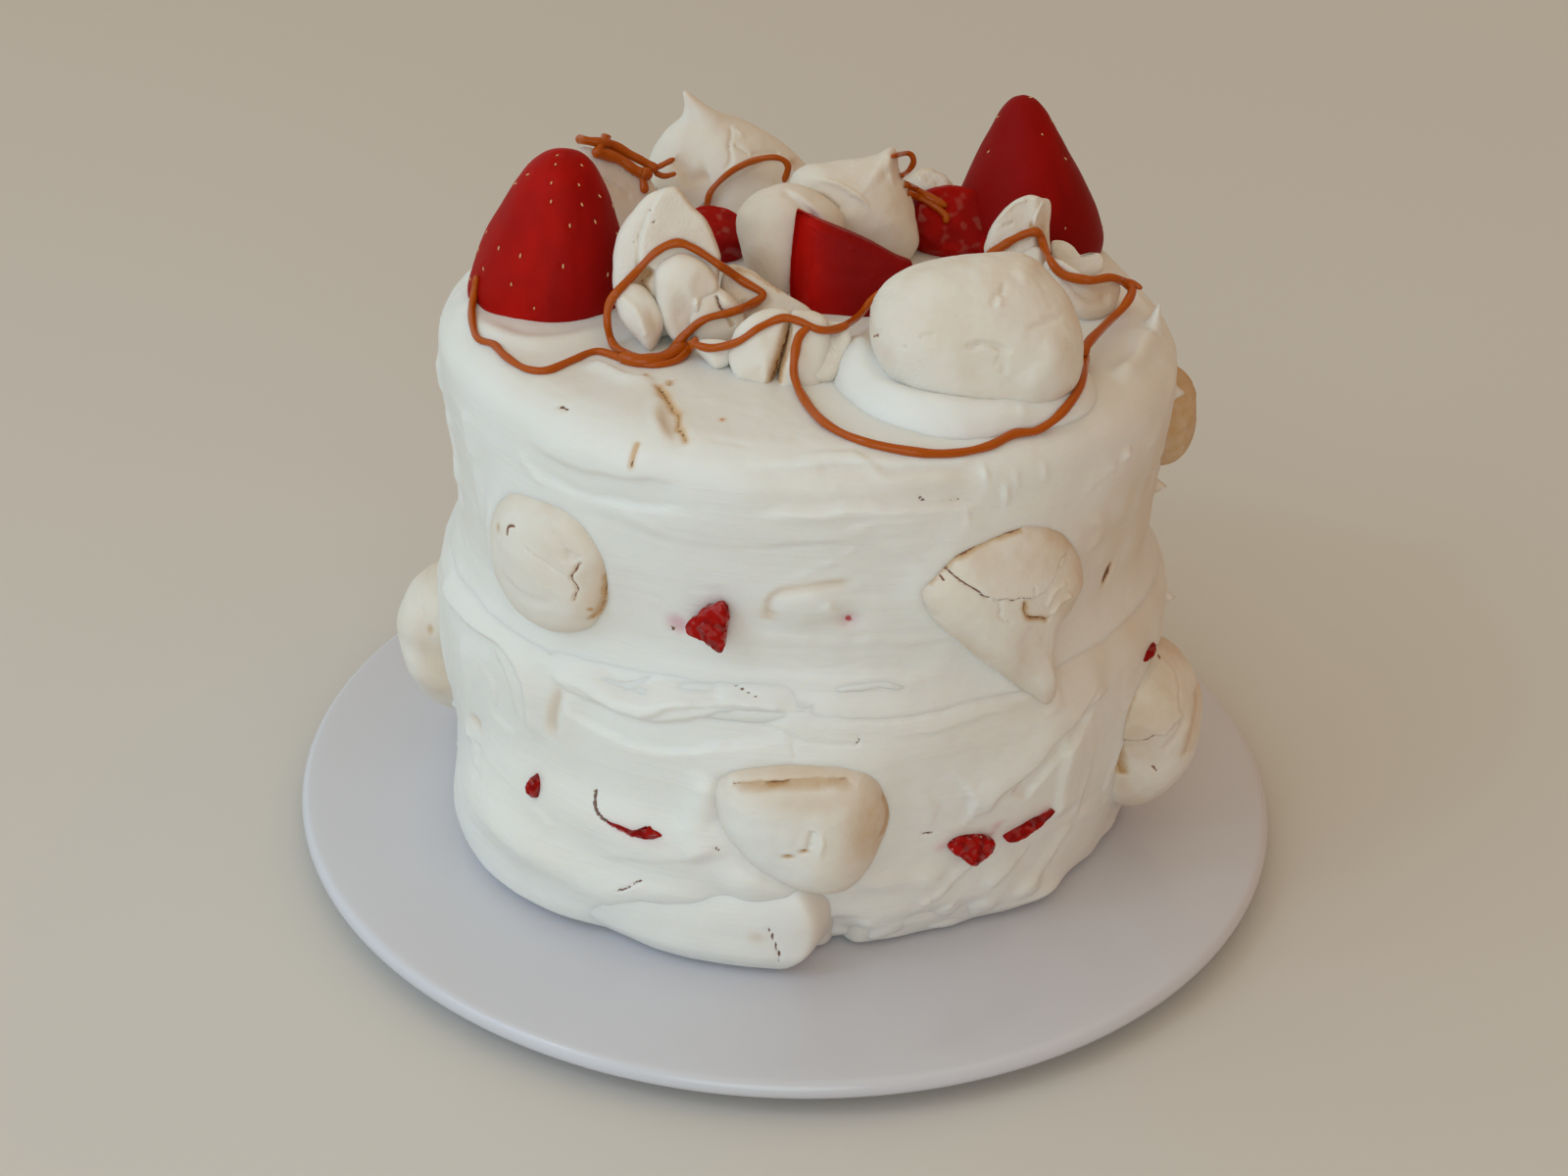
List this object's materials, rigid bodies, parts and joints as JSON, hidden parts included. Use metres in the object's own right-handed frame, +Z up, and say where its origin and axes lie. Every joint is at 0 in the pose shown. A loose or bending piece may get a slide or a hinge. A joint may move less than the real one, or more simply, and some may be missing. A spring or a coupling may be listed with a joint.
{
  "type": "meringue cake on plate",
  "caption": "Round tiered cake coated in whipped cream, topped with strawberries, broken meringue and caramel, on a flat plate.",
  "frame": {"origin": "centre of the plate, at the underside of its foot ring, on the table", "axes": "+Z up; -Y towards the side that shows the round meringue low on the front; +X to its right"},
  "size_m": [0.3, 0.3, 0.2145],
  "materials": {
    "whipped_cream": "soft satin",
    "meringue": "dry matte with toasted edges",
    "strawberry": "moist gloss",
    "caramel": "wet gloss",
    "plate_glaze": "smooth glaze"
  },
  "bodies": {
    "root": {"cake_body": "whipped_cream", "chip_back_a": "strawberry", "chip_back_b": "strawberry", "chip_back_c": "strawberry", "chip_back_d": "strawberry", "chip_front_left": "strawberry", "chip_front_right_a": "strawberry", "chip_front_right_b": "strawberry", "chip_front_upper": "strawberry", "chip_right": "strawberry", "cream_dollop": "whipped_cream", "kiss_back": "meringue", "kiss_centre_left": "meringue", "kiss_centre_right": "meringue", "kiss_front": "meringue", "meringue_base": "meringue", "plate": "plate_glaze", "shard_back_a": "meringue", "shard_back_b": "meringue", "shard_block": "meringue", "shard_crust": "meringue", "shard_flat": "meringue", "shard_leaf": "meringue", "shard_lean": "meringue", "shard_long": "meringue", "shard_nugget_a": "meringue", "shard_nugget_b": "meringue", "shard_petal_a": "meringue", "shard_petal_b": "meringue", "shard_petal_c": "meringue", "shard_round": "meringue", "shard_upright": "meringue", "shard_wedge": "meringue", "side_kiss_back_a": "meringue", "side_kiss_back_b": "meringue", "side_kiss_back_c": "meringue", "side_kiss_back_d": "meringue", "side_kiss_back_e": "meringue", "side_kiss_front": "meringue", "side_kiss_high_right": "meringue", "side_kiss_left": "meringue", "side_kiss_low_left": "meringue", "side_kiss_low_right": "meringue", "side_kiss_right": "meringue", "strawberry_back": "strawberry", "strawberry_left": "strawberry", "strawberry_middle": "strawberry", "strawberry_right": "strawberry", "strawberry_wedge": "strawberry"}
  },
  "joints": []
}
